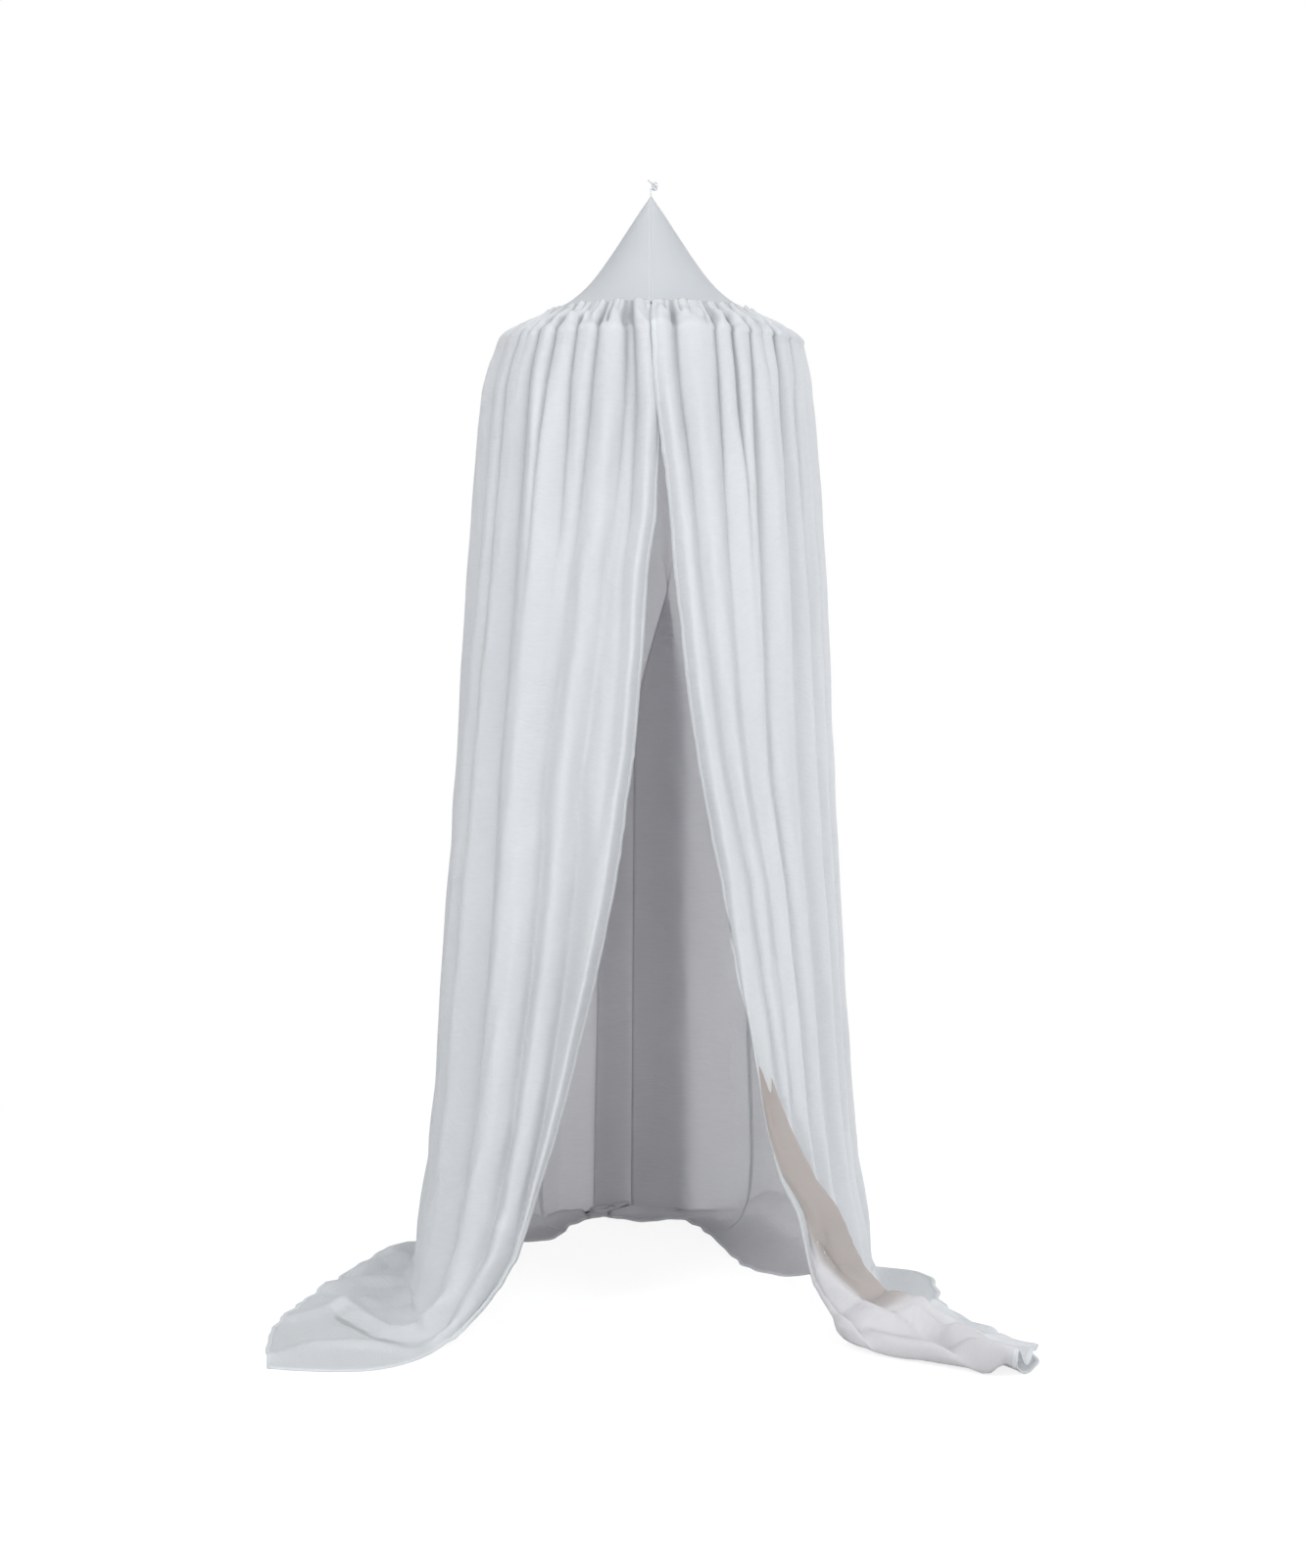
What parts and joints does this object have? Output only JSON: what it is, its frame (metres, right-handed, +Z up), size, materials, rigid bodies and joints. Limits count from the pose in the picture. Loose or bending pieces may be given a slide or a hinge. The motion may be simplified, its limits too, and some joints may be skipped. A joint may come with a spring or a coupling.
{
  "type": "bed canopy",
  "caption": "Hanging bed canopy: a gathered muslin curtain with a front slit on a hidden hoop, under a pointed jersey crown with a knotted cord.",
  "frame": {"origin": "the neck of the hanging cord, right under its knot, on the canopy's upright axis; the floor is 1.76 m below", "axes": "+Z up, -Y towards the doorway's front, +X to the right of someone who faces the doorway"},
  "size_m": [1.1117, 0.8549, 1.7777],
  "materials": {
    "muslin": "crinkled double gauze, pale cool grey, matt",
    "jersey": "smooth knitted jersey, pale cool grey, matt",
    "tape": "woven cotton tape",
    "cord": "round braided cotton cord",
    "hoop_tube": "drawn plastic tube, satin",
    "hoop_joiner": "plain plastic rod"
  },
  "bodies": {
    "hanger": {"hanging_cord": "cord"},
    "canopy": {"crown_gore_front_left": "jersey", "crown_gore_front_right": "jersey", "crown_gore_back_left": "jersey", "crown_gore_back_right": "jersey", "gather_tape": "tape", "hoop_channel": "muslin", "hoop_tube_1": "hoop_tube", "hoop_tube_2": "hoop_tube", "hoop_tube_3": "hoop_tube", "hoop_tube_4": "hoop_tube", "hoop_joiner_1": "hoop_joiner", "hoop_joiner_2": "hoop_joiner", "hoop_joiner_3": "hoop_joiner", "hoop_joiner_4": "hoop_joiner", "left_front_heading": "muslin", "right_front_heading": "muslin", "left_side_panel": "muslin", "back_panel": "muslin", "right_side_panel": "muslin"},
    "left_leaf": {"left_leaf": "muslin"},
    "right_leaf": {"right_leaf": "muslin"}
  },
  "joints": [
    {"name": "canopy_swivel", "type": "hinge", "parent": "hanger", "child": "canopy", "pos_m": [0, 0, 0], "axis": [0, 0, 1], "range_deg": [-90, 90]},
    {"name": "left_leaf_swing", "type": "hinge", "parent": "canopy", "child": "left_leaf", "pos_m": [-0.388, 0, -1.76], "axis": [0, 0, -1], "range_deg": [0, 45]},
    {"name": "right_leaf_swing", "type": "hinge", "parent": "canopy", "child": "right_leaf", "pos_m": [0.388, 0, -1.76], "axis": [0, 0, 1], "range_deg": [0, 45]}
  ]
}
